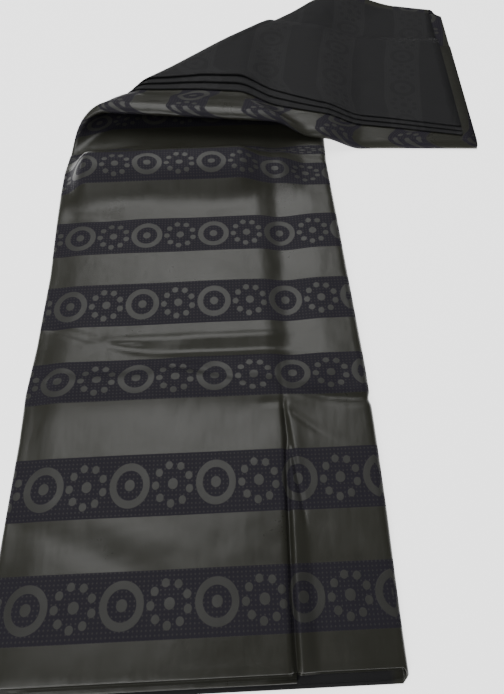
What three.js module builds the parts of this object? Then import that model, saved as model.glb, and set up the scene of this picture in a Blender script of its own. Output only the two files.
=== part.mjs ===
import * as THREE from 'three';
import { mergeVertices } from 'three/addons/utils/BufferGeometryUtils.js';

// A long cloth folded back and forth along its length, then in three panels across its width.
// The folded strip runs away from the front, turns over on a diagonal fold and ends in a side arm.
// X runs across the strip, Y along it, Z up. Lengths are in mm.

const STRIP_WIDTH = 360;
const LAYER_PITCH = 1.9;         // from one layer to the next
const SHEET = 1.1;               // thickness of a layer
const INNER_PANEL = 268;         // inner panel's width, from the strip's left edge
const SHELF_FALL = 22;           // width over which cloth falls past a panel's edge
const SAG_WIDTH = 28;            // the same, inside the left edge
const SAG_SHARE = 0.9;           // how much of that width the fall takes
const PUFF = 4.75;               // air under the top panel, beside the inner one
const PUFF_START = 10;           // the air begins here and is full at PUFF_FULL
const PUFF_FULL = 250;
const STEP_SHARE = 0.06;         // share of the strip's length in which the front's steps die out

const FOLD_ANGLE = THREE.MathUtils.degToRad(42);
const FOLD_START = 612;          // where the diagonal fold meets the left edge
const BULGE = 0.9;               // the fold's depth against its height
const LAYER_SLIP = 0.4;          // share of a layer's own bend length that moves it along the fold

const ARM_LENGTH = 582;          // from the fold's start to the arm's end
const ARM_SLANT = 0.05;          // the end's lean toward the fold, across the arm
const ARM_SETBACK = { bottom: 24, top: 2, inner: 4 };
const SHORT_RUN = 4;             // least length between two lines across the arm
// the arm comes down onto the strip, further from the fold at its near edge
const DESCENT = { x: 62, lag: 50, lagFrom: 40, lagTo: 110, length: 58, level: 0.85 };
// and then down beside the strip
const SLUMP = { x: 176, length: 52, lengthening: 0.15 };
const REST_GAP = 2.6;            // between strip and arm, where one lies on the other

// clear height between strip and arm, by distance along the fold
const FOLD_CLEARANCE = [
  { along: 0, clear: 36 }, { along: 60, clear: 22 }, { along: 130, clear: 18 },
  { along: 200, clear: 15 }, { along: 260, clear: 9 }, { along: 330, clear: 2.5 },
];
// stations count along a panel's edge: 0 is the front, 1 the fold, 2 the arm's end
const STATIONS = {
  strip: [0, 1], bend: [1, 1.12], shoulder: [1.12, 1.37], descent: [1.37, 1.47],
  slump: [1.55, 1.65], tail: [1.65, 2],
};
// bottom panel's free edge: its inset from the strip's left edge, and the step between its layers
const FREE_EDGE = [
  { station: 0, inset: 45, step: 2.5 }, { station: 0.6, inset: 56, step: 2.5 },
  { station: 1, inset: 62, step: 6 }, { station: 1.15, inset: 66, step: 10 },
  { station: 1.25, inset: 73, step: 12.5 }, { station: 1.38, inset: 74, step: 14 },
  { station: 1.47, inset: 66, step: 12 }, { station: 1.55, inset: 52, step: 8 },
  { station: 1.65, inset: 53, step: 6 }, { station: 2, inset: 40, step: 5 },
];
// how far the left edge, which the fold makes the arm's near one, is drawn in
const NEAR_EDGE = [
  { station: 0, tuck: 3 }, { station: 0.34, tuck: 3 }, { station: 0.425, tuck: 1 },
  { station: 0.52, tuck: 4 }, { station: 0.68, tuck: 5 }, { station: 0.83, tuck: 1 },
  { station: 0.9, tuck: 0 }, { station: 0.96, tuck: 0 }, { station: 1.12, tuck: 24 },
  { station: 1.37, tuck: 16 }, { station: 1.55, tuck: 8 }, { station: 1.7, tuck: 16 },
  { station: 2, tuck: 25 },
];
// how far the right edge, which becomes the arm's far one, is drawn out
const FAR_EDGE = [
  { station: 0, spread: 4 }, { station: 0.2, spread: 6.5 }, { station: 0.46, spread: 7 },
  { station: 0.83, spread: 2 }, { station: 0.96, spread: 0 }, { station: 1.12, spread: 12 },
  { station: 1.55, spread: 30 }, { station: 2, spread: 20 },
];
// how far each panel's front lies before the top one's: at the layers' fold, at the lowest layer's end
const FRONT_STEPS = {
  fold: { top: 0, inner: 7.5, bottom: 12 },
  end: { top: 3, inner: 5, bottom: 9.5 },
};
// the strip's top swells up before the fold: heights by the length, and by the distance across
const SWELL = { height: 31, start: 495, top: 558, brow: 582, foot: 626 };
const SWELL_SIDES = { start: 3, full: 42, drop: 238, low: 270, end: 290, foot: 332, share: 0.5 };
// a soft wave across the strip's middle
const WAVE = { y: 266, height: 6, width: 22, start: 5, full: 45, drop: 290, foot: 340 };
// how far the strip's rows lean toward the fold's line, by share of its length
const ROW_LEAN = [{ share: 0.95, lean: 0 }, { share: 0.99, lean: 0.12 }, { share: 1, lean: 1 }];
// rows of points along the cloth, as shares of each zone
const ROW_STEPS = {
  strip: [0, 0.06, 0.22, 0.39, 0.425, 0.46, 0.6, 0.8, 0.865, 0.91, 0.95, 0.99, 1],
  bend: [1 / 6, 2 / 6, 3 / 6, 4 / 6, 5 / 6],
  shoulder: [0, 0.5, 1],
  descent: [1 / 3, 2 / 3, 1],
  slump: [0, 0.5, 1],
  tail: [0.5, 1],
};
const TURN_STEPS = 4;

const LEFT = -STRIP_WIDTH / 2;
const HALF = SHEET / 2;
const STACK = 3 * LAYER_PITCH;   // one panel of three layers
const BASE = HALF - LAYER_PITCH / 2;
// the side turns' centres lie inside the strip's edges: two panels meet at the left, three at the right
const TURN_LEFT = LEFT + 2.5 * LAYER_PITCH;
const TURN_RIGHT = -LEFT - 3.5 * LAYER_PITCH;
const INNER_EDGE = LEFT + INNER_PANEL;
const BRINK = BASE + 3 * STACK - (LAYER_PITCH - SHEET) / 2 + REST_GAP;
const { sin, cos, tan, max, min, PI } = Math;
const { clamp, lerp } = THREE.MathUtils;

function smooth(from, to, value) {
  const t = clamp((value - from) / (to - from), 0, 1);
  return t * t * (3 - 2 * t);
}

function lookUp(table, key, column, value) {
  const last = table.length - 1;
  if (value <= table[0][key]) return table[0][column];
  if (value >= table[last][key]) return table[last][column];
  const i = table.findIndex((row) => row[key] > value);
  const t = (value - table[i - 1][key]) / (table[i][key] - table[i - 1][key]);
  return lerp(table[i - 1][column], table[i][column], t);
}

// Rows run along the cloth, from the front edge to the arm's end.
function rows() {
  const list = [];
  for (const [zone, steps] of Object.entries(ROW_STEPS)) {
    for (const t of steps) list.push({ zone, t, station: lerp(...STATIONS[zone], t) });
  }
  return list;
}

// Lanes are the places across a panel, shared by all three so that their folds match.
const FREE_LANE = 2;
const EDGE_LANE = 6;
const LAST_LANE = 9;
function lanes(station) {
  const left = TURN_LEFT + lookUp(NEAR_EDGE, 'station', 'tuck', station);
  const right = TURN_RIGHT + lookUp(FAR_EDGE, 'station', 'spread', station);
  const free = LEFT + lookUp(FREE_EDGE, 'station', 'inset', station);
  const cover = max(free, left + SAG_WIDTH);
  const sag = cover - SAG_WIDTH * SAG_SHARE;
  const inside = [0.25, 0.5, 0.75].map((share) => lerp(cover, INNER_EDGE, share));
  const fall = INNER_EDGE + SHELF_FALL;
  return [left, sag, cover, ...inside, INNER_EDGE, fall, (fall + right) / 2, right];
}

// Columns run across the cloth: bottom panel, right turn, top panel, left turn, inner panel.
function columns() {
  const list = [];
  const turn = Array.from({ length: TURN_STEPS - 1 }, (_, k) => (k + 1) / TURN_STEPS);
  for (let i = FREE_LANE; i <= LAST_LANE; i++) list.push({ panel: 'bottom', lane: i });
  for (const t of turn) list.push({ panel: 'right', lane: LAST_LANE, t });
  for (let i = LAST_LANE; i >= 0; i--) list.push({ panel: 'top', lane: i });
  for (const t of turn) list.push({ panel: 'left', lane: 0, t });
  for (let i = 0; i <= EDGE_LANE; i++) list.push({ panel: 'inner', lane: i });
  return list;
}

// Height of the swell and the wave over the strip's flat top.
function ridges(x, y) {
  const across = x - LEFT;
  const { share } = SWELL_SIDES;
  const sides = smooth(SWELL_SIDES.start, SWELL_SIDES.full, across)
    * (1 - share * smooth(SWELL_SIDES.drop, SWELL_SIDES.low, across)
      - (1 - share) * smooth(SWELL_SIDES.end, SWELL_SIDES.foot, across));
  const swell = smooth(SWELL.start, SWELL.top, y) * (1 - smooth(SWELL.brow, SWELL.foot, y));
  const wave = smooth(WAVE.start, WAVE.full, across) * (1 - smooth(WAVE.drop, WAVE.foot, across));
  return SWELL.height * sides * swell
    + WAVE.height * wave * Math.exp(-(((y - WAVE.y) / WAVE.width) ** 2));
}

// Blends a value of the two panels that a side turn joins.
function byPanel(column, values) {
  const { panel, t } = column;
  if (panel === 'right') return lerp(values.bottom, values.top, t);
  if (panel === 'left') return lerp(values.top, values.inner, t);
  return values[panel];
}

// Height across a turn that joins two panels, rising or falling by its half circle.
function turnHeight(low, high, offset, angle) {
  return (low + high) / 2 - ((high - low) / 2 + offset) * cos(angle);
}

// The strip's section at a row: a point's place across it, its height, and the top face's height.
// The offset counts from the panel's middle layer.
function stripSection(column, station, y, offset) {
  const { panel, lane, t: turn = 0 } = column;
  const places = lanes(station);
  const spot = places[lane];
  const covered = smooth(places[1], places[FREE_LANE] - 1, spot);
  const shelved = 1 - smooth(INNER_EDGE, INNER_EDGE + SHELF_FALL, spot);
  const puff = PUFF * (1 - shelved) * smooth(PUFF_START, PUFF_FULL, y);
  const innerLow = STACK * covered;
  const topLow = innerLow + STACK * shelved + puff + ridges(spot, y);
  const middle = { bottom: STACK / 2, top: topLow + STACK / 2, inner: innerLow + STACK / 2 };
  const topFace = BASE + topLow + STACK - LAYER_PITCH / 2 + HALF;
  const angle = PI * turn;
  const section = { x: spot, z: BASE + middle[panel] - offset, spot, shelved, topFace };
  if (panel === 'top') section.z = BASE + middle.top + offset;
  if (panel === 'right') {
    section.x = spot + ((middle.top - middle.bottom) / 2 + offset) * sin(angle);
    section.z = BASE + turnHeight(middle.bottom, middle.top, offset, angle);
  }
  if (panel === 'left') {
    section.x = spot - ((middle.top - middle.inner) / 2 + offset) * sin(angle);
    section.z = BASE + turnHeight(middle.inner, middle.top, offset, PI - angle);
  }
  if (panel === 'bottom' && lane === FREE_LANE) {
    const step = lookUp(FREE_EDGE, 'station', 'step', station);
    const inset = lookUp(FREE_EDGE, 'station', 'inset', station);
    section.x = LEFT + inset + step * (1 + offset / LAYER_PITCH);
  }
  return section;
}

// How far a point lies before the top panel's front edge. The upper layers fold there, the lowest ends.
function frontStep(column, offset) {
  const folded = smooth(-1, 0, offset / LAYER_PITCH);
  return lerp(byPanel(column, FRONT_STEPS.end), byPanel(column, FRONT_STEPS.fold), folded);
}

// Height of a point in the arm's own section, which holds the panels upside down.
function armHeight(column, shelved, offset) {
  const { panel, t: turn = 0 } = column;
  const middle = { top: STACK / 2, inner: 1.5 * STACK, bottom: STACK * (1.5 + shelved) };
  const angle = PI * turn;
  if (panel === 'right') return BASE + turnHeight(middle.top, middle.bottom, offset, PI - angle);
  if (panel === 'left') return BASE + turnHeight(middle.top, middle.inner, offset, angle);
  return BASE + middle[panel] + (panel === 'top' ? -offset : offset);
}

// A point of the bend between strip and arm, about an axis above the strip.
function bendPoint(across, turn, travel, startRadius, endRadius, axisZ) {
  const phi = PI * turn;
  const radius = lerp(startRadius, endRadius, smooth(0, 1, turn));
  const along = across / cos(FOLD_ANGLE) + travel * turn * tan(FOLD_ANGLE);
  const out = radius * sin(phi) * BULGE;
  return new THREE.Vector3(
    LEFT + cos(FOLD_ANGLE) * along - sin(FOLD_ANGLE) * out,
    FOLD_START + sin(FOLD_ANGLE) * along + cos(FOLD_ANGLE) * out,
    axisZ - radius * cos(phi),
  );
}

// Where lines across the arm lie, by its own length, at a place b across it.
function armLines(b, setback) {
  const at = (x) => (x - LEFT - b * cos(2 * FOLD_ANGLE)) / sin(2 * FOLD_ANGLE);
  const lag = DESCENT.lag * (1 - smooth(DESCENT.lagFrom, DESCENT.lagTo, b));
  const fold = b * tan(FOLD_ANGLE);
  const descent = max(at(DESCENT.x + lag), fold + SHORT_RUN);
  const slump = max(at(SLUMP.x), descent + 2 * SHORT_RUN);
  const landing = min(descent + DESCENT.length, slump - SHORT_RUN);
  const rest = slump + SLUMP.length + SLUMP.lengthening * b;
  return { fold, descent, landing, slump, rest, end: ARM_LENGTH - ARM_SLANT * b - setback };
}

// A point of the arm, a along it and b across it, on its underside's height and its own.
function armPoint(row, b, foldLow, height, setback, past) {
  const { zone, t } = row;
  const line = armLines(b, setback);
  const brow = lerp(BRINK, foldLow, DESCENT.level);
  const run = {
    shoulder: { a: lerp(line.fold, line.descent, t), low: lerp(foldLow, brow, t) },
    descent: { a: lerp(line.descent, line.landing, t), low: lerp(brow, BRINK, smooth(0, 1, t)) },
    slump: { a: lerp(line.slump, line.rest, t), low: BRINK * (1 - smooth(0, 1, t)) },
    tail: { a: lerp(line.rest, line.end, t) + past, low: 0 },
  };
  const { a, low } = run[zone];
  return new THREE.Vector3(
    LEFT + sin(2 * FOLD_ANGLE) * a + cos(2 * FOLD_ANGLE) * b,
    FOLD_START - cos(2 * FOLD_ANGLE) * a + sin(2 * FOLD_ANGLE) * b,
    low + height,
  );
}

// Where a point of the cloth lies, from its column, its row, its offset from the panel's middle
// layer, and how far it reaches past the row where the layers turn.
function place(column, row, offset, past) {
  const { zone, t, station } = row;
  const inStrip = zone === 'strip';
  const along = inStrip ? t : 1;
  const spotY = (lanes(station)[column.lane] - LEFT) * tan(FOLD_ANGLE);
  const y = along * (FOLD_START + spotY * lookUp(ROW_LEAN, 'share', 'lean', along));
  const { x, z, spot, shelved, topFace } = stripSection(column, station, y, offset);
  if (inStrip) {
    const step = frontStep(column, offset) * (1 - smooth(0, STEP_SHARE, t));
    return new THREE.Vector3(x, y - step - past, z);
  }
  const clear = lookUp(FOLD_CLEARANCE, 'along', 'clear', spot - LEFT);
  const height = armHeight(column, shelved, offset);
  const axisZ = topFace + clear / 2;
  const startRadius = axisZ - z;
  const endRadius = clear / 2 + height;
  const bendLength = PI * (startRadius + endRadius) / 2;
  const travel = lerp(PI * (clear / 2 + STACK), bendLength, LAYER_SLIP);
  const across = x - LEFT;
  if (zone === 'bend') return bendPoint(across, t, travel, startRadius, endRadius, axisZ);
  const setback = byPanel(column, ARM_SETBACK);
  return armPoint(row, across + travel * sin(FOLD_ANGLE), topFace + clear, height, setback, past);
}

// One face of the back-and-forth section: three layers joined by a turn at the front and one at the
// arm's end. The face is 1 or -1, and both faces have the same number of points.
function sectionFace(face) {
  const list = rows();
  const last = list.length - 1;
  const points = [];
  const layer = (offset, onward) => {
    const order = onward ? list : list.toReversed();
    for (const row of order) points.push({ row, offset, past: 0, forward: onward === (face > 0) });
  };
  const turn = (row, centre, radius) => {
    for (let k = 1; k < TURN_STEPS; k++) {
      const angle = PI * k / TURN_STEPS;
      const offset = centre + radius * cos(angle);
      points.push({ row, offset, past: radius * sin(angle), forward: true });
    }
  };
  const half = face * HALF;
  layer(LAYER_PITCH + half, false);
  turn(list[0], LAYER_PITCH / 2, LAYER_PITCH / 2 + half);
  layer(-half, true);
  turn(list[last], -LAYER_PITCH / 2, LAYER_PITCH / 2 - half);
  layer(half - LAYER_PITCH, false);
  return points;
}

function clothFaces(outline, across) {
  const size = outline.length;
  const end = (across.length - 1) * size;
  const faces = [];
  const quad = (a, b, c, d) => faces.push(a, b, c, a, c, d);
  for (let i = 0; i < across.length - 1; i++) {
    const inward = across[i + 1].lane < across[i].lane;
    for (let j = 0; j < size; j++) {
      const a = i * size + j;
      const b = i * size + (j + 1) % size;
      // the same diagonal on faces that lie together, so that a twisted patch keeps its clearance
      if (outline[j].forward === inward) quad(a, a + size, b + size, b);
      else quad(a + size, b + size, b, a);
    }
  }
  for (let j = 0; j < size / 2 - 1; j++) {
    const opposite = size - 1 - j;
    quad(j, j + 1, opposite - 1, opposite);
    quad(end + j, end + opposite, end + opposite - 1, end + j + 1);
  }
  return faces;
}

function clothGeometry() {
  const outline = [...sectionFace(1), ...sectionFace(-1).reverse()];
  const across = columns();
  const points = across.flatMap((column) => outline.map((p) => place(column, p.row, p.offset, p.past)));
  const geometry = new THREE.BufferGeometry().setFromPoints(points);
  geometry.setIndex(clothFaces(outline, across));
  const joined = mergeVertices(geometry, 1e-4);
  joined.computeBoundingBox();
  const centre = joined.boundingBox.getCenter(new THREE.Vector3());
  joined.translate(-centre.x, -centre.y, -joined.boundingBox.min.z);
  joined.computeVertexNormals();
  return joined;
}

function fabric() {
  return new THREE.MeshStandardMaterial({
    color: 0x3a3a3c, roughness: 0.45, metalness: 0, side: THREE.DoubleSide,
  });
}

const cloth = new THREE.Mesh(clothGeometry(), fabric());
cloth.name = 'cloth';

const part = new THREE.Group();
part.add(cloth);

export default part;
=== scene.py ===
import math

import bpy
import numpy as np
from mathutils import Matrix, Vector


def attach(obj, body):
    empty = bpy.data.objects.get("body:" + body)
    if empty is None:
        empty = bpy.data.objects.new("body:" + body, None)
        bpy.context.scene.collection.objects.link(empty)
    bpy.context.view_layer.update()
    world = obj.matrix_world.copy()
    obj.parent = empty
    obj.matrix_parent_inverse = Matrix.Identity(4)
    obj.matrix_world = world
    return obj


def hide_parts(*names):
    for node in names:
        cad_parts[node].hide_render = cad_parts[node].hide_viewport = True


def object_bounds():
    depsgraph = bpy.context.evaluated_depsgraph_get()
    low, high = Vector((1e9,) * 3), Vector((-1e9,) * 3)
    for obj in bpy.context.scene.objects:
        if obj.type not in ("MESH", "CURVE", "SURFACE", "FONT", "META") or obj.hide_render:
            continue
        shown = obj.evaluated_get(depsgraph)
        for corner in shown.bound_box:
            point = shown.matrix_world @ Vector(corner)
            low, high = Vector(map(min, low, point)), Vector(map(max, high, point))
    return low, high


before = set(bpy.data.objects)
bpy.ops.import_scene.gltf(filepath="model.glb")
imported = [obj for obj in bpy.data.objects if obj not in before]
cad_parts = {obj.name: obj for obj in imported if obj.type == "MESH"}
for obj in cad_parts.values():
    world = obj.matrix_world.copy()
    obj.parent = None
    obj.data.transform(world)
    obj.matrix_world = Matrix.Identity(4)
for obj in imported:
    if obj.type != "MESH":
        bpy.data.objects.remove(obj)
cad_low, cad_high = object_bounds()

# A long cloth folded back and forth along its length, then in three panels across its width.
# The strip runs away from the front, turns over on a diagonal fold and ends in a side arm.
# The cloth is worked out in mm, as X across the strip, Y along it and Z up from the floor.

MM = 0.001
STRIP_WIDTH = 360.0
# from one of a panel's three layers to the next
LAYER_PITCH = 1.9
# how thick the sheet is in the CAD solid, and how thick here
CAD_SHEET = 1.1
SHEET = 0.5
INNER_PANEL = 268.0
SHELF_FALL = 22.0
# beside the bottom panel's free edge the inner one sags, over a share of this width
SAG_WIDTH = 28.0
SAG_SHARE = 0.9
# how far the top puffs up beside the inner panel, and where along the strip it rises to that
PUFF = 4.75
PUFF_RISE = (10, 250)
# how high the top stands at its rounded left rim, and how wide the rim's fall is
RIM_SHARE, RIM_WIDTH = 0.45, 34.0
FOLD_ANGLE = math.radians(42)
FOLD_START = 612.0
# how far the bend's round reaches out, as a share of its radius
BULGE = 0.9
# the share in which a layer's own length in the bend carries it on past the common one
LAYER_SLIP = 0.4
ARM_LENGTH = 582.0
ARM_SLANT = 0.05
# how far the bottom, top and inner panel end before the arm's length
ARM_SETBACKS = (24.0, 2.0, 4.0)
SHORT_RUN = 4.0
# the arm's way down: its X, how much later it starts near b = 0, its length, and the share of
# the height that is left where it starts
DESCENT_X, DESCENT_LAG, DESCENT_LENGTH, DESCENT_LEVEL = 62.0, 50.0, 58.0, 0.85
# where across the arm the lag of its descent fades out
LAG_FADE = (40, 110)
# the slump over the strip's right edge to the floor: its X, its length and what b adds to that
SLUMP_X, SLUMP_LENGTH, SLUMP_LENGTHENING = 176.0, 52.0, 0.15
# from the strip to the arm that lies on it
REST_GAP = 2.6

# distance along the fold, and the clear height between strip and arm there
FOLD_CLEARANCE = ([0, 60, 130, 200, 260, 330], [36, 22, 18, 15, 9, 2.5])
# stations count along a panel's edge: 0 is the front, 1 the fold, 2 the arm's end
STATIONS = ((0, 1), (1, 1.12), (1.12, 1.37), (1.37, 1.47), (1.47, 1.55), (1.55, 1.65), (1.65, 2))
FREE_STATIONS = [0, 0.6, 1, 1.15, 1.25, 1.38, 1.47, 1.55, 1.65, 2]
FREE_INSETS = [45, 56, 62, 66, 73, 74, 66, 52, 53, 40]
FREE_STEPS = [2.5, 2.5, 6, 10, 12.5, 14, 12, 8, 6, 5]
NEAR_EDGE = (
    [0, 0.34, 0.425, 0.52, 0.68, 0.83, 0.9, 0.96, 1.12, 1.37, 1.55, 1.7, 2],
    [3, 3, 1, 4, 5, 1, 0, 0, 13, 11, 8, 16, 25],
)
FAR_EDGE = ([0, 0.2, 0.46, 0.83, 0.96, 1.12, 1.55, 2], [4, 6.5, 7, 2, 0, 12, 30, 20])
# how far the bottom, top and inner panel lie before the top one's front
FRONT_FOLD_STEPS = (12.0, 0.0, 7.5)
FRONT_END_STEPS = (9.5, 3.0, 5.0)
STEP_SHARE = 0.06
# how the strip's last rows turn from straight across to the fold's slant
ROW_LEAN = ([0.95, 0.99, 1], [0, 0.12, 1])

# the swell before the fold: its height, and where it rises and falls along the strip
SWELL_HEIGHT = 31.0
SWELL_RISE, SWELL_FALL = (512, 574), (582, 626)
# the wave across the strip's middle: its height, its place along the strip and its half width
WAVE_HEIGHT, WAVE_PLACE, WAVE_WIDTH = 6.0, 266, 22
# how far the lower layers sink at the middle's creases, where that is and its half width
UNDER_SLACK, SLACK_PLACE, SLACK_WIDTH = 1.2, 285, 55
# the creases fade out over this last share of the strip
CREASES_FADE = (1.0, 0.97)
# the long crease: where it lies, how deep and how wide it is, each by the place along the strip
GROOVE_LINE = ([-15, 50, 120, 165, 200, 240, 600], [88, 89, 91, 92.5, 95, 94, 94])
GROOVE_DEPTH = ([-15, 60, 150, 215, 245, 300, 560, 600], [8.5, 8.0, 6.0, 3.4, 0.9, 0, 0, 0])
GROOVE_WIDTH = ([-15, 150, 245, 600], [2.3, 2.3, 2.8, 5.0])

# rows along a layer, for the strip's stretches and then for each zone after it
FINE_ROWS = ((22, 62, 38, 10, 8), (18, 14, 10, 4, 10, 10))
COARSE_ROWS = ((10, 18, 18, 5, 3), (9, 5, 5, 2, 5, 3))
# the share of the strip where creases run across it, with closer rows
CREASED = (0.25, 0.56)
TURN_STEPS = 6

LEFT = -STRIP_WIDTH / 2
STACK = 3 * LAYER_PITCH
BASE = CAD_SHEET / 2 - LAYER_PITCH / 2
# where the side turns begin, and how much pattern goes round each
TURN_LEFT = LEFT + 2.5 * LAYER_PITCH
TURN_RIGHT = -LEFT - 3.5 * LAYER_PITCH
LEFT_ARC = math.pi * LAYER_PITCH * 2.5
RIGHT_ARC = math.pi * LAYER_PITCH * 4
INNER_EDGE = LEFT + INNER_PANEL
BRINK = BASE + 3 * STACK - (LAYER_PITCH - CAD_SHEET) / 2 + REST_GAP
RISE = math.tan(FOLD_ANGLE)

# the woven repeat, in mm: rings and rosettes in dotted bands between plain satin stripes
MOTIF_PITCH = 83.3
BAND_PITCH = 103.6
FIRST_RING_X = -143.4
FIRST_BAND_Y = 53.7
BAND_HALF = 26.8
BAND_SOFTNESS = 0.3
RING_OUTER, RING_INNER, RING_DOT = 19.4, 12.7, 4.9
ROSE_CENTRE, PETAL_PLACE, PETAL_RADIUS = 4.8, 16.7, 3.6
PETAL_TURN, FIRST_PETAL = math.radians(40), math.radians(24)
DOTS_PER_MOTIF, DOT_RADIUS, DOT_SOFTNESS = 22, 0.8, 0.3
THREAD_PITCH = 0.9
# past this place across the pattern the cloth's dull reverse look begins
REVERSE_EDGE, REVERSE_SOFTNESS = 205.0, 4
# places along the strip, and where the evenly spaced pattern has what lies there
BAND_PLACES = ([-20, 28, 82, 128, 188, 246, 294, 338, 395, 440, 495, 548, 588, 620],
               [-27, 27, 80, 130, 184, 234, 288, 338, 391, 441, 495, 548, 602, 706])
# pattern added in the bend to about the cloth's own length there
BEND_EXTRA = 53.6
# what the pattern leaves out across the long crease, by the place along the strip
GROOVE_TAKES = ([-15, 60, 150, 240], [8, 7.5, 4, 0])

# the cloth's colours: dark greys, the satin a little green and the bands' ground a little violet
SATIN = ((0.024, 0.024, 0.0185, 1), (0.035, 0.035, 0.0275, 1))
GROUND = (0.0225, 0.0205, 0.0275, 1)
DOT, DOT_STRENGTH = (0.038, 0.038, 0.037, 1), 0.55
FIGURE = (0.038, 0.038, 0.035, 1)
BACK_SATIN, BACK_GROUND = (0.025, 0.025, 0.026, 1), (0.030, 0.030, 0.031, 1)
BACK_FIGURE = (0.026, 0.026, 0.027, 1)
# roughness of the satin and the reverse, and what the pattern and the noises add to the first
SATIN_ROUGH, BACK_ROUGH = 0.33, 0.66
BAND_ROUGHER, FIGURE_ROUGHER, DOT_ROUGHER = 0.30, -0.18, -0.10
FINE_ROUGHER, COARSE_ROUGHER = 0.10, 0.25
# how strongly each weave mirrors the lights
SATIN_GLOSS, GROUND_GLOSS, DOT_GLOSS, FIGURE_GLOSS, BACK_GLOSS = 0.42, 0.12, 0.22, 0.34, 0.10
# noise scales, for the pattern map in metres
COARSE_NOISE, FINE_NOISE, PUCKER_NOISE, SOFT_NOISE = 14.0, 220.0, 95.0, 24.0
PUCKER_STRETCH = (1.0, 0.35, 1.0)
# heights of the low relief in mm, before the bump's strength
FIGURE_RELIEF, DOT_RELIEF, THREAD_RELIEF, FINE_RELIEF = 0.22, 0.25, 0.02, 0.05
PUCKER_RELIEF, SOFT_RELIEF = 0.55, 2.6
BUMP_STRENGTH = 0.6

# the stage, in metres: name, place, aim, size and power in watts of each light
SOFTBOXES = (
    ("overhead_softbox", (-0.4, 0.6, 2.1), (0, 0.1, 0), (2.0, 1.2), 26),
    ("far_softbox", (-0.3, 1.9, 1.9), (0, 0.2, 0), (2.0, 0.8), 16),
    ("front_softbox", (-1.2, -1.9, 1.8), (0, 0.2, 0), (1.6, 1.2), 30),
)
WORLD_STRENGTH = 0.10
FLOOR_HALF, FLOOR_DROP = 6.0, 0.0002
FLOOR_GREY, FLOOR_ROUGH, FLOOR_GLOW = 0.93, 0.9, 1.8
# the camera's place in the strip's frame, in mm, and how it is turned
CAMERA_PLACE = Vector((56.6, 46.7, 504.6))
CAMERA_PITCH, CAMERA_ROLL, CAMERA_YAW = math.radians(62.24), math.radians(0.88), math.radians(-1.74)
FOCAL_PIXELS, PICTURE_HEIGHT, SENSOR = 500.0, 694.0, 36.0

BOTTOM, RIGHT, TOP, LEFT_TURN, INNER = range(5)
SAG_LANE, FREE_LANE, PAST_FREE_LANE, EDGE_LANE, LAST_LANE = 1, 2, 3, 6, 9
STRIP, BEND, SHOULDER, DESCENT, SHELF, SLUMP, TAIL = range(7)


def smooth(low, high, value):
    t = np.clip((value - low) / (high - low), 0, 1)
    return t * t * (3 - 2 * t)


def bell(value, centre, width):
    return np.exp(-((value - centre) / width) ** 2)


def ridge(value, line, height, width, *fades):
    """A soft ridge where the value meets the line, or a trough where its height is below zero.

    Each fade is the place where the ridge is gone, the one where it is full, and the coordinate
    that both are counted in.
    """
    form = height * bell(value, line, width)
    for gone, full, along in fades:
        form = form * smooth(gone, full, along)
    return form


def station(zone, t):
    starts, ends = np.array(STATIONS).T
    index = zone.astype(int)
    return starts[index] + (ends[index] - starts[index]) * t


def lane_places(q):
    """Places across a panel that all three panels share, for rows at stations q."""
    left = TURN_LEFT + np.interp(q, *NEAR_EDGE)
    right = TURN_RIGHT + np.interp(q, *FAR_EDGE)
    free = LEFT + np.interp(q, FREE_STATIONS, FREE_INSETS)
    cover = np.maximum(free, left + SAG_WIDTH)
    sag = cover - SAG_WIDTH * SAG_SHARE
    edge = np.full_like(q, INNER_EDGE)
    fall = edge + SHELF_FALL
    inside = [cover + (edge - cover) * share for share in (0.25, 0.5, 0.75)]
    return np.stack([left, sag, cover, *inside, edge, fall, (fall + right) / 2, right])


def steps(start, end, count):
    return [start + (end - start) * k / count for k in range(count + 1)]


def stretches(*parts):
    """Steps along stretches that follow each other, each given by its start, end and count."""
    places = steps(*parts[0])
    for part in parts[1:]:
        places += steps(*part)[1:]
    return places


def columns():
    """Columns across the cloth: panel, lane as a fraction, and how far round a side turn."""
    top = stretches((0, 2, 8), (2, 5.7, 28), (5.7, 7.4, 30), (7.4, LAST_LANE, 14))
    inner = stretches((0, FREE_LANE, 6), (FREE_LANE, EDGE_LANE, 8))
    rows = [(BOTTOM, lane, 0) for lane in steps(FREE_LANE, LAST_LANE, 20)]
    rows += [(RIGHT, LAST_LANE, t) for t in steps(0, 1, 6)[1:-1]]
    rows += [(TOP, lane, 0) for lane in reversed(top)]
    rows += [(LEFT_TURN, 0, t) for t in steps(0, 1, 7)[1:-1]]
    rows += [(INNER, lane, 0) for lane in inner]
    return np.array(rows, float)


def row_list(strip_counts, zone_counts):
    """Rows along the cloth as zone and share of it, closer at the creases and before the fold."""
    ends = (0, *CREASED, *ROW_LEAN[0])
    rows = [(STRIP, t) for t in stretches(*zip(ends, ends[1:], strip_counts))]
    for zone, count in zip((BEND, SHOULDER, DESCENT, SHELF, SLUMP, TAIL), zone_counts):
        rows += [(zone, t) for t in steps(0, 1, count)[1:]]
    return np.array(rows, float)


def swell(x, y):
    """The swell before the fold and the wave across the strip's middle."""
    across = x - LEFT
    sides = 1 - 0.5 * smooth(238, 270, across) - 0.5 * smooth(290, 332, across)
    sides = sides * smooth(3, 42, across)
    wave = smooth(5, 45, across) * (1 - smooth(290, 340, across))
    height = SWELL_HEIGHT * sides * smooth(*SWELL_RISE, y) * (1 - smooth(*SWELL_FALL, y))
    return height + WAVE_HEIGHT * wave * bell(y, WAVE_PLACE, WAVE_WIDTH)


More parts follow.
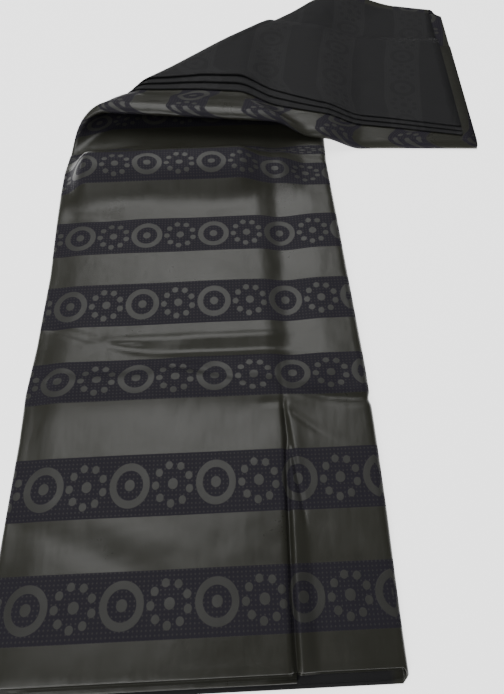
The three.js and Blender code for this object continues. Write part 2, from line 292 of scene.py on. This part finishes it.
def middle_creases(across, y):
    """Two glints with a trough between them, a slanting trough, and a shallow one on the left."""
    trough = 303 + 44 * (1 - smooth(-30, 150, across))
    slanting = np.interp(across, [120, 155, 320, 350], [296, 288, 243, 240])
    return (
        ridge(y, 319, 2.3, 5, (60, 90, across), (300, 260, across))
        + ridge(y, trough, -2.8, 5.5, (4, 25, across), (310, 260, across))
        + ridge(y, 291, 2.3, 4.5, (120, 160, across), (300, 260, across))
        + ridge(y, slanting, -3.4, 5.5, (120, 165, across))
        + ridge(y, 281, -2.6, 8, (150, 110, across), (0, 20, across))
    )


def front_wrinkles(across, y):
    """A soft trough and a ridge beside it, slanting across the front's left."""
    trough = ridge(y, 133 - 0.38 * across, -1.3, 9, (250, 150, across))
    return trough + ridge(y, 158 - 0.34 * across, 0.9, 8, (220, 120, across))


def long_crease(x, y):
    """The crease over the inner panel's edge, deep and narrow at the front, with low lips."""
    line = np.interp(y, *GROOVE_LINE)
    groove = -np.interp(y, *GROOVE_DEPTH) * bell(x, line, np.interp(y, *GROOVE_WIDTH))
    lips = ridge(x, line - 9, 0.2, 6, (250, 200, y)) + ridge(x, line + 10, 0.9, 8, (250, 200, y))
    # past its head the top falls softly over the edge
    fall = 4.2 * smooth(240, 275, y) * smooth(78, 106, x) * (1 - smooth(106, 152, x))
    return groove + lips - fall


def crease_branches(x, y):
    """A branch beside the long crease, and a crease that runs out from its head past a dent."""
    branch = np.interp(y, [120, 187, 236], [107, 99, 94])
    along, off = (x - 98) * 0.79 - (y - 230) * 0.61, (x - 98) * 0.61 + (y - 230) * 0.79
    return (
        ridge(x, branch, -2.4, 2.4, (105, 150, y), (245, 215, y))
        + ridge(off, 0, -1.5, 3.5, (-4, 8, along), (75, 35, along))
        + ridge(y, 238, -1.8, 3.0, (62, 84, x), (103, 94, x))
    )


def swell_troughs(across, y):
    """A trough at the foot of the swell's front, and one just before its crest."""
    foot = ridge(y, 512 - 0.25 * across, -2.6, 14, (5, 25, across), (130, 60, across))
    return foot + ridge(y, 571, -3.0, 8, (95, 150, across), (270, 235, across))


def unevenness(across, y):
    """Slow waves all over the top, apart from its edges."""
    inside = smooth(4, 40, across) * (1 - smooth(300, 352, across))
    waves = 0.5 * np.sin(y / 37 + across / 61) + 0.35 * np.sin(across / 23 - y / 53)
    return waves * inside


def creases(x, y):
    """Soft troughs and ridges in the strip's top."""
    across = x - LEFT
    height = middle_creases(across, y) + front_wrinkles(across, y)
    height = height + long_crease(x, y) + crease_branches(x, y)
    return height + swell_troughs(across, y) + unevenness(across, y)


def arm_lines(b, setback):
    """Where lines across the arm lie, by its own length, at a place b across it."""
    def at(x):
        return (x - LEFT - b * math.cos(2 * FOLD_ANGLE)) / math.sin(2 * FOLD_ANGLE)
    fold = b * RISE
    lag = DESCENT_LAG * (1 - smooth(*LAG_FADE, b))
    descent = np.maximum(at(DESCENT_X + lag), fold + SHORT_RUN)
    slump = np.maximum(at(SLUMP_X), descent + 2 * SHORT_RUN)
    landing = np.minimum(descent + DESCENT_LENGTH, slump - SHORT_RUN)
    rest = slump + SLUMP_LENGTH + SLUMP_LENGTHENING * b
    return fold, descent, landing, slump, rest, ARM_LENGTH - ARM_SLANT * b - setback


def band_place(y):
    """Where the evenly spaced pattern has what lies at y along the strip."""
    return np.interp(y, *BAND_PLACES) + np.maximum(y - BAND_PLACES[0][-1], 0)


class Spots:
    """Points of the cloth, each given by its place in the folds.

    Across the cloth it is the panel, the lane in it and turn, the share of a side turn. Along it
    it is the zone, t, the share of that zone, offset, the height in the panel's stack of layers,
    and past, the reach past the cloth's end. x, y and z are the place in the strip, or at its
    end for the zones after it.
    """

    def __init__(self, panel, lane, turn, zone, t, offset, past):
        self.panel, self.turn, self.angle = panel, turn, math.pi * turn
        self.t, self.offset, self.past = t, offset, past
        self.in_strip, self.in_bend = zone == STRIP, zone == BEND
        self.arm_zones = [zone == kind for kind in (SHOULDER, DESCENT, SHELF, SLUMP)]
        self.q = station(zone, t)
        self.lanes = lane_places(self.q)
        index = np.clip(lane.astype(int), 0, LAST_LANE - 1)
        low = np.take_along_axis(self.lanes, index[None], 0)[0]
        high = np.take_along_axis(self.lanes, index[None] + 1, 0)[0]
        self.spot = low + (high - low) * (lane - index)
        self.shelved = 1 - smooth(INNER_EDGE, INNER_EDGE + SHELF_FALL, self.spot)
        self.at_free_edge = (panel == BOTTOM) & (lane < PAST_FREE_LANE)
        share = np.where(self.in_strip, t, 1)
        self.y = share * (FOLD_START + (self.spot - LEFT) * RISE * np.interp(share, *ROW_LEAN))
        self.place_section()
        self.place_bend()

    def pick(self, bottom, right, top, left, inner):
        """The value for each point's panel or side turn."""
        panels = [self.panel == kind for kind in (BOTTOM, RIGHT, TOP, LEFT_TURN)]
        return np.select(panels, [bottom, right, top, left], inner)

    def by_panel(self, bottom, top, inner):
        """A value for each panel, changing evenly round the side turns."""
        right = bottom + (top - bottom) * self.turn
        left = top + (inner - top) * self.turn
        return self.pick(bottom, right, top, left, inner)

    def layer_creases(self):
        """The creases in each layer: the lower ones have the troughs alone, deeper in the middle."""
        crease = creases(self.spot, self.y) * np.where(self.in_strip, smooth(*CREASES_FADE, self.t), 0)
        below = np.minimum(crease, 0) - UNDER_SLACK * bell(self.y, SLACK_PLACE, SLACK_WIDTH)
        crease = below + (crease - below) * smooth(0.2, 0.8, self.offset / LAYER_PITCH)
        return crease * (self.panel < LEFT_TURN)

    def place_section(self):
        """The strip's section: the bottom stack, the inner one on it and the top one over both."""
        lanes, spot, offset = self.lanes, self.spot, self.offset
        rim = RIM_SHARE + (1 - RIM_SHARE) * smooth(lanes[0], lanes[0] + RIM_WIDTH, spot)
        puff = PUFF * (1 - self.shelved) * smooth(*PUFF_RISE, self.y)
        top_low = STACK * rim + STACK * self.shelved + puff + swell(spot, self.y)
        top_low = top_low + self.layer_creases()
        inner_low = STACK * smooth(lanes[SAG_LANE], lanes[FREE_LANE] - 1, spot)
        bottom, top, inner = STACK / 2, top_low + STACK / 2, inner_low + STACK / 2
        out_right = (top - bottom) / 2 + offset
        out_left = (top - inner) / 2 + offset
        x = spot + self.pick(0, out_right, 0, -out_left, 0) * np.sin(self.angle)
        right = (bottom + top) / 2 - out_right * np.cos(self.angle)
        left = (inner + top) / 2 + out_left * np.cos(self.angle)
        self.x = np.where(self.at_free_edge, self.free_edge(x), x)
        self.z = BASE + self.pick(bottom - offset, right, top + offset, left, inner - offset)
        self.top_face = BASE + top_low + STACK - LAYER_PITCH / 2 + CAD_SHEET / 2

    def free_edge(self, x):
        """x near the bottom panel's free edge, where each layer ends a step before the next."""
        free = LEFT + np.interp(self.q, FREE_STATIONS, FREE_INSETS)
        free = free + np.interp(self.q, FREE_STATIONS, FREE_STEPS) * (1 + self.offset / LAYER_PITCH)
        start, end = self.lanes[FREE_LANE], self.lanes[PAST_FREE_LANE]
        return free + (x - start) * (end - free) / (end - start)

    def stepped_y(self):
        """y with the panels' steps at the front."""
        folded = smooth(-1, 0, self.offset / LAYER_PITCH)
        step = self.by_panel(*FRONT_END_STEPS) * (1 - folded) + self.by_panel(*FRONT_FOLD_STEPS) * folded
        return self.y - step * (1 - smooth(0, STEP_SHARE, self.t)) - self.past

    def arm_height(self):
        """Height in the arm's section, which is the strip's upside down."""
        offset = self.offset
        bottom, top, inner = STACK * (1.5 + self.shelved), STACK / 2, 1.5 * STACK
        right = (top + bottom) / 2 + ((bottom - top) / 2 + offset) * np.cos(self.angle)
        left = (top + inner) / 2 - ((inner - top) / 2 + offset) * np.cos(self.angle)
        return BASE + self.pick(bottom + offset, right, top - offset, left, inner + offset)

    def place_bend(self):
        """The bend's radii and length, and how far it carries the cloth along and across."""
        self.clear = np.interp(self.spot - LEFT, *FOLD_CLEARANCE)
        self.height = self.arm_height()
        self.axis_z = self.top_face + self.clear / 2
        self.start_radius = self.axis_z - self.z
        self.end_radius = self.clear / 2 + self.height
        self.bend_length = math.pi * (self.start_radius + self.end_radius) / 2
        common = math.pi * (self.clear / 2 + STACK)
        self.travel = common + (self.bend_length - common) * LAYER_SLIP
        self.across = self.x - LEFT
        self.b = self.across + self.travel * math.sin(FOLD_ANGLE)

    def bend_point(self):
        phi = math.pi * self.t
        radius = self.start_radius + (self.end_radius - self.start_radius) * smooth(0, 1, self.t)
        along = self.across / math.cos(FOLD_ANGLE) + self.travel * self.t * RISE
        out = radius * np.sin(phi) * BULGE
        return (
            LEFT + math.cos(FOLD_ANGLE) * along - math.sin(FOLD_ANGLE) * out,
            FOLD_START + math.sin(FOLD_ANGLE) * along + math.cos(FOLD_ANGLE) * out,
            self.axis_z - radius * np.cos(phi),
        )

    def arm_places(self):
        """How far along the arm each point is, and where the fold lies on the same line."""
        t = self.t
        fold, descent, landing, slump, rest, end = arm_lines(self.b, self.by_panel(*ARM_SETBACKS))
        a = np.select(
            self.arm_zones,
            [fold + (descent - fold) * t, descent + (landing - descent) * t,
             landing + (slump - landing) * t, slump + (rest - slump) * t],
            rest + (end - rest) * t + self.past,
        )
        return a, fold

    def arm_low(self):
        """How high the arm's underside lies: on the strip, down to the brink, and to the floor."""
        fold_low = self.top_face + self.clear
        brow = BRINK + (fold_low - BRINK) * DESCENT_LEVEL
        ease = smooth(0, 1, self.t)
        shoulder = fold_low + (brow - fold_low) * self.t
        descent = brow + (BRINK - brow) * ease
        return np.select(self.arm_zones, [shoulder, descent, BRINK, BRINK * (1 - ease)], 0)

    def arm_point(self, a):
        return (
            LEFT + math.sin(2 * FOLD_ANGLE) * a + math.cos(2 * FOLD_ANGLE) * self.b,
            FOLD_START - math.cos(2 * FOLD_ANGLE) * a + math.sin(2 * FOLD_ANGLE) * self.b,
            self.arm_low() + self.height,
        )

    def pattern_width(self):
        """The place in the pattern across the cloth, from one free edge to the other."""
        takes = np.interp(self.y, *GROOVE_TAKES) * np.where(self.in_strip, 1, 0)
        line = np.interp(self.y, *GROOVE_LINE)
        left, right = self.lanes[0], self.lanes[LAST_LANE]
        return self.pick(
            TURN_RIGHT + RIGHT_ARC + right - self.x,
            TURN_RIGHT + RIGHT_ARC * (1 - self.turn),
            self.spot + takes * smooth(-4, 4, self.spot - line),
            TURN_LEFT - LEFT_ARC * self.turn,
            TURN_LEFT - LEFT_ARC - (self.x - left),
        )

    def pattern_length(self, strip_y, a, fold):
        """The place in the pattern along the cloth, which isn't everywhere the cloth's length."""
        fold_v = band_place(FOLD_START + (self.spot - LEFT) * RISE)
        bend_run = self.bend_length / math.cos(FOLD_ANGLE)
        bend_v = fold_v + (bend_run + BEND_EXTRA) * self.t
        arm_v = fold_v + bend_run + BEND_EXTRA + a - fold
        return np.select([self.in_strip, self.in_bend], [band_place(strip_y), bend_v], arm_v)


def place(*where):
    """Where points of the cloth lie, and their places in its pattern, all in mm."""
    spots = Spots(*where)
    strip_y = spots.stepped_y()
    a, fold = spots.arm_places()
    strip, bend, arm = (spots.x, strip_y, spots.z), spots.bend_point(), spots.arm_point(a)
    zones = [spots.in_strip, spots.in_bend]
    point = [np.select(zones, [s, m], e) for s, m, e in zip(strip, bend, arm)]
    pattern = [spots.pattern_width(), spots.pattern_length(strip_y, a, fold)]
    return np.stack(point, -1), np.stack(pattern, -1)


def section_face(face):
    """One face of the back-and-forth section: zone, t, offset and reach past the end, by rows."""
    half = face * SHEET / 2
    fine, coarse = row_list(*FINE_ROWS), row_list(*COARSE_ROWS)
    rows = []

    def layer(stations, offset):
        rows.extend((zone, t, offset, 0) for zone, t in stations)

    def turn(end, centre, radius):
        for angle in steps(0, math.pi, TURN_STEPS)[1:-1]:
            rows.append((*end, centre + radius * math.cos(angle), radius * math.sin(angle)))
    layer(fine[::-1], LAYER_PITCH + half)
    turn(fine[0], LAYER_PITCH / 2, LAYER_PITCH / 2 + half)
    layer(coarse, -half)
    turn(coarse[-1], -LAYER_PITCH / 2, LAYER_PITCH / 2 - half)
    layer(coarse[::-1], half - LAYER_PITCH)
    return np.array(rows, float)


def sheet_faces(count, size):
    """The sheet's faces, for count columns of size points that each go round the section."""
    i, j = np.meshgrid(np.arange(count - 1), np.arange(size), indexing="ij")
    a, b = i * size + j, i * size + (j + 1) % size
    sides = np.stack([a, a + size, b + size, b], -1).reshape(-1, 4)
    k = np.arange(size // 2 - 1)
    first = np.stack([k, k + 1, size - 2 - k, size - 1 - k], -1)
    last = (count - 1) * size + first[:, ::-1]
    return np.concatenate([sides, first, last])


def cloth_mesh(vertices, faces, pattern):
    """A smooth mesh, with the places in the pattern as a UV map in metres."""
    mesh = bpy.data.meshes.new("embossed_cloth")
    mesh.from_pydata(vertices.tolist(), [], faces.tolist())
    mesh.polygons.foreach_set("use_smooth", np.ones(len(faces), bool))
    uv = mesh.uv_layers.new(name="flat")
    corner = np.empty(len(mesh.loops), int)
    mesh.loops.foreach_get("vertex_index", corner)
    uv.data.foreach_set("uv", (pattern[corner] * MM).astype(np.float32).ravel())
    mesh.update()
    return mesh


def cloth_object():
    """The whole cloth as one thin closed sheet.

    Also gives the CAD frame's origin in the strip's frame.
    """
    outline = np.concatenate([section_face(1), section_face(-1)[::-1]])
    across = columns()
    panel, lane, turn = (np.repeat(c[:, None], len(outline), 1) for c in across.T)
    zone, t, offset, past = (np.repeat(r[None], len(across), 0) for r in outline.T)
    points, pattern = place(panel, lane, turn, zone, t, offset, past)
    points, pattern = points.reshape(-1, 3), pattern.reshape(-1, 2)
    middle = (points.min(0) + points.max(0)) / 2
    origin = Vector((middle[0], middle[1], 0)) * MM - (cad_low + cad_high) / 2
    origin.z = 0
    vertices = points * MM - np.array(origin)
    mesh = cloth_mesh(vertices, sheet_faces(len(across), len(outline)), pattern)
    cloth = bpy.data.objects.new("embossed_cloth", mesh)
    bpy.context.collection.objects.link(cloth)
    return cloth, origin


class Nodes:
    """Short helpers for a material's node tree."""

    def __init__(self, tree):
        self.tree = tree

    def add(self, kind, **values):
        node = self.tree.nodes.new(kind)
        for name, value in values.items():
            setattr(node, name, value)
        return node

    def link(self, source, target):
        if hasattr(source, "links"):
            self.tree.links.new(source, target)
        else:
            target.default_value = source

    def math(self, operation, *inputs, clamp=False):
        node = self.add("ShaderNodeMath", operation=operation, use_clamp=clamp)
        for value, socket in zip(inputs, node.inputs):
            self.link(value, socket)
        return node.outputs[0]

    def plus(self, value, mask, amount):
        """value with that amount of the mask added."""
        return self.math("ADD", value, self.math("MULTIPLY", mask, amount))

    def step(self, value, low, high):
        """0 below low, 1 above high, smooth between."""
        node = self.add("ShaderNodeMapRange", interpolation_type="SMOOTHSTEP")
        for given, socket in zip((value, low, high, 0.0, 1.0), node.inputs):
            self.link(given, socket)
        return node.outputs[0]

    def fold(self, value, pitch, centre=0.0):
        """value counted from the nearest of the repeats at centre + n * pitch."""
        shifted = self.math("ADD", value, pitch / 2 - centre)
        return self.math("SUBTRACT", self.math("FLOORED_MODULO", shifted, pitch), pitch / 2)

    def distance(self, u, v):
        return self.math("SQRT", self.math("ADD", self.math("MULTIPLY", u, u), self.math("MULTIPLY", v, v)))

    def disc(self, distance, radius, soft=0.35):
        return self.step(distance, radius + soft, radius - soft)

    def mix(self, factor, a, b):
        node = self.add("ShaderNodeMix", data_type="RGBA")
        self.link(factor, node.inputs[0])
        sockets = [s for s in node.inputs if s.type == "RGBA"]
        for value, socket in zip((a, b), sockets):
            self.link(value, socket)
        return [s for s in node.outputs if s.type == "RGBA"][0]

    def blend(self, factor, a, b):
        """A number that goes from a to b as the factor goes from 0 to 1."""
        node = self.add("ShaderNodeMapRange")
        for given, socket in zip((factor, 0.0, 1.0, a, b), node.inputs):
            self.link(given, socket)
        return node.outputs[0]

    def noise(self, vector, scale, detail=2.0):
        node = self.add("ShaderNodeTexNoise")
        self.link(vector, node.inputs["Vector"])
        node.inputs["Scale"].default_value = scale
        node.inputs["Detail"].default_value = detail
        return node.outputs["Fac"]


def figure_mask(n, u, band_v):
    """The large figures along a band: rings with a dot inside, and rosettes of nine round petals."""
    ring_u = n.fold(u, MOTIF_PITCH, FIRST_RING_X)
    rose_u = n.fold(u, MOTIF_PITCH, FIRST_RING_X + MOTIF_PITCH / 2)
    ring_r = n.distance(ring_u, band_v)
    rose_r = n.distance(rose_u, band_v)
    ring = n.math("SUBTRACT", n.disc(ring_r, RING_OUTER), n.disc(ring_r, RING_INNER), clamp=True)
    centres = n.math("MAXIMUM", n.disc(ring_r, RING_DOT), n.disc(rose_r, ROSE_CENTRE))
    turned = n.fold(n.math("ARCTAN2", band_v, rose_u), PETAL_TURN, FIRST_PETAL)
    petal_u = n.math("SUBTRACT", n.math("MULTIPLY", rose_r, n.math("COSINE", turned)), PETAL_PLACE)
    petal_v = n.math("MULTIPLY", rose_r, n.math("SINE", turned))
    petals = n.disc(n.distance(petal_u, petal_v), PETAL_RADIUS)
    return n.math("MAXIMUM", n.math("MAXIMUM", ring, centres), petals)


def pattern_masks(n, u, v):
    """Masks of the weave's figures: inside a dotted band, a large figure, or a small dot."""
    band_v = n.fold(v, BAND_PITCH, FIRST_BAND_Y)
    band_edges = (BAND_HALF + BAND_SOFTNESS, BAND_HALF - BAND_SOFTNESS)
    band = n.step(n.math("ABSOLUTE", band_v), *band_edges)
    figure = figure_mask(n, u, band_v)
    pitch = MOTIF_PITCH / DOTS_PER_MOTIF
    dots = n.disc(n.distance(n.fold(u, pitch), n.fold(v, pitch)), DOT_RADIUS, DOT_SOFTNESS)
    bare = n.math("SUBTRACT", 1.0, figure)
    dots = n.math("MULTIPLY", n.math("MULTIPLY", dots, bare), band)
    return band, n.math("MULTIPLY", figure, band), dots


def weave_colour(n, band, figure, dots, coarse, reverse):
    satin = n.mix(coarse, *SATIN)
    colour = n.mix(band, satin, GROUND)
    colour = n.mix(n.math("MULTIPLY", dots, DOT_STRENGTH), colour, DOT)
    colour = n.mix(figure, colour, FIGURE)
    back = n.mix(band, BACK_SATIN, BACK_GROUND)
    return n.mix(reverse, colour, n.mix(figure, back, BACK_FIGURE))


def weave_roughness(n, band, figure, dots, coarse, fine, reverse):
    rough = n.plus(SATIN_ROUGH, band, BAND_ROUGHER)
    rough = n.plus(rough, figure, FIGURE_ROUGHER)
    rough = n.plus(rough, dots, DOT_ROUGHER)
    rough = n.plus(rough, n.math("SUBTRACT", fine, 0.5), FINE_ROUGHER)
    rough = n.plus(rough, n.math("SUBTRACT", coarse, 0.5), COARSE_ROUGHER)
    return n.blend(reverse, rough, BACK_ROUGH)


def weave_gloss(n, band, figure, dots, reverse):
    gloss = n.blend(dots, n.blend(band, SATIN_GLOSS, GROUND_GLOSS), DOT_GLOSS)
    return n.blend(reverse, n.blend(figure, gloss, FIGURE_GLOSS), BACK_GLOSS)


def weave_relief(n, flat, u, v, figure, dots, fine):
    """Figures and dots that stand up, a fine cross weave, small puckers and soft unevenness."""
    thread_u = n.math("SINE", n.math("MULTIPLY", u, 2 * math.pi / THREAD_PITCH))
    thread_v = n.math("SINE", n.math("MULTIPLY", v, 2 * math.pi / THREAD_PITCH))
    # the puckers are drawn out along the cloth
    stretched = n.add("ShaderNodeVectorMath", operation="MULTIPLY")
    n.link(flat, stretched.inputs[0])
    stretched.inputs[1].default_value = PUCKER_STRETCH
    puckers = n.noise(stretched.outputs[0], PUCKER_NOISE, 1.0)
    height = n.plus(n.math("MULTIPLY", figure, FIGURE_RELIEF), dots, DOT_RELIEF)
    height = n.plus(height, n.math("MULTIPLY", thread_u, thread_v), THREAD_RELIEF)
    height = n.plus(height, fine, FINE_RELIEF)
    height = n.plus(height, puckers, PUCKER_RELIEF)
    height = n.plus(height, n.noise(flat, SOFT_NOISE, 1.0), SOFT_RELIEF)
    bump = n.add("ShaderNodeBump")
    bump.inputs["Strength"].default_value = BUMP_STRENGTH
    bump.inputs["Distance"].default_value = MM
    n.link(height, bump.inputs["Height"])
    return bump.outputs[0]


def fabric_material():
    """Dark damask: satin stripes, and dull bands with glossier rings and dots in low relief."""
    material = bpy.data.materials.new("embossed_fabric")
    material.use_nodes = True
    tree = material.node_tree
    tree.nodes.clear()
    n = Nodes(tree)
    flat = n.add("ShaderNodeUVMap", uv_map="flat").outputs[0]
    parts = n.add("ShaderNodeSeparateXYZ")
    n.link(flat, parts.inputs[0])
    u = n.math("DIVIDE", parts.outputs[0], MM)
    v = n.math("DIVIDE", parts.outputs[1], MM)
    masks = pattern_masks(n, u, v)
    coarse = n.noise(flat, COARSE_NOISE)
    fine = n.noise(flat, FINE_NOISE)
    reverse = n.step(u, REVERSE_EDGE - REVERSE_SOFTNESS, REVERSE_EDGE + REVERSE_SOFTNESS)
    shader = n.add("ShaderNodeBsdfPrincipled")
    n.link(weave_colour(n, *masks, coarse, reverse), shader.inputs["Base Color"])
    n.link(weave_roughness(n, *masks, coarse, fine, reverse), shader.inputs["Roughness"])
    n.link(weave_relief(n, flat, u, v, *masks[1:], fine), shader.inputs["Normal"])
    n.link(weave_gloss(n, *masks, reverse), shader.inputs["Specular IOR Level"])
    output = n.add("ShaderNodeOutputMaterial")
    n.link(shader.outputs[0], output.inputs[0])
    return material


def floor_material():
    """Pale paper that glows a little, so that it is pale without more light on the cloth."""
    material = bpy.data.materials.new("floor_paper")
    material.use_nodes = True
    inputs = material.node_tree.nodes["Principled BSDF"].inputs
    inputs["Base Color"].default_value = (FLOOR_GREY, FLOOR_GREY, FLOOR_GREY, 1)
    inputs["Roughness"].default_value = FLOOR_ROUGH
    inputs["Emission Color"].default_value = (1, 1, 1, 1)
    inputs["Emission Strength"].default_value = FLOOR_GLOW
    return material


def add_floor():
    side = FLOOR_HALF
    corners = [(-side, -side, 0), (side, -side, 0), (side, side, 0), (-side, side, 0)]
    mesh = bpy.data.meshes.new("floor")
    mesh.from_pydata(corners, [], [(0, 1, 2, 3)])
    mesh.materials.append(floor_material())
    floor = bpy.data.objects.new("floor", mesh)
    floor.location.z = cad_low.z - FLOOR_DROP
    bpy.context.collection.objects.link(floor)


def add_softbox(name, place_at, aim, size, power):
    data = bpy.data.lights.new(name, "AREA")
    data.shape = "RECTANGLE"
    data.size, data.size_y = size
    data.energy = power
    light = bpy.data.objects.new(name, data)
    light.location = place_at
    light.rotation_euler = (Vector(aim) - Vector(place_at)).to_track_quat("-Z", "Y").to_euler()
    bpy.context.collection.objects.link(light)


def add_lights():
    world = bpy.data.worlds.new("studio")
    world.use_nodes = True
    background = world.node_tree.nodes["Background"].inputs
    background["Color"].default_value = (1, 1, 1, 1)
    background["Strength"].default_value = WORLD_STRENGTH
    bpy.context.scene.world = world
    for softbox in SOFTBOXES:
        add_softbox(*softbox)


def add_camera(origin):
    """The camera above the front edge, looking down along the strip."""
    forward = Vector((0, math.cos(CAMERA_PITCH), -math.sin(CAMERA_PITCH)))
    right = Vector((1, 0, 0))
    down = forward.cross(right)
    turn = Matrix.Rotation(CAMERA_YAW, 3, "Z")
    forward, right, down = turn @ forward, turn @ right, turn @ down
    side = right * math.cos(CAMERA_ROLL) + down * math.sin(CAMERA_ROLL)
    low = down * math.cos(CAMERA_ROLL) - right * math.sin(CAMERA_ROLL)
    data = bpy.data.cameras.new("photo_view")
    data.sensor_fit = "AUTO"
    data.sensor_width = SENSOR
    data.lens = FOCAL_PIXELS / PICTURE_HEIGHT * SENSOR
    data.clip_start = 0.01
    camera = bpy.data.objects.new("photo_view", data)
    axes = Matrix((side, -low, -forward)).transposed().to_4x4()
    camera.matrix_world = Matrix.Translation(CAMERA_PLACE * MM - origin) @ axes
    bpy.context.collection.objects.link(camera)
    bpy.context.scene.camera = camera


cloth, origin = cloth_object()
cloth.data.materials.append(fabric_material())
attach(cloth, "root")
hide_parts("cloth")
add_floor()
add_lights()
add_camera(origin)
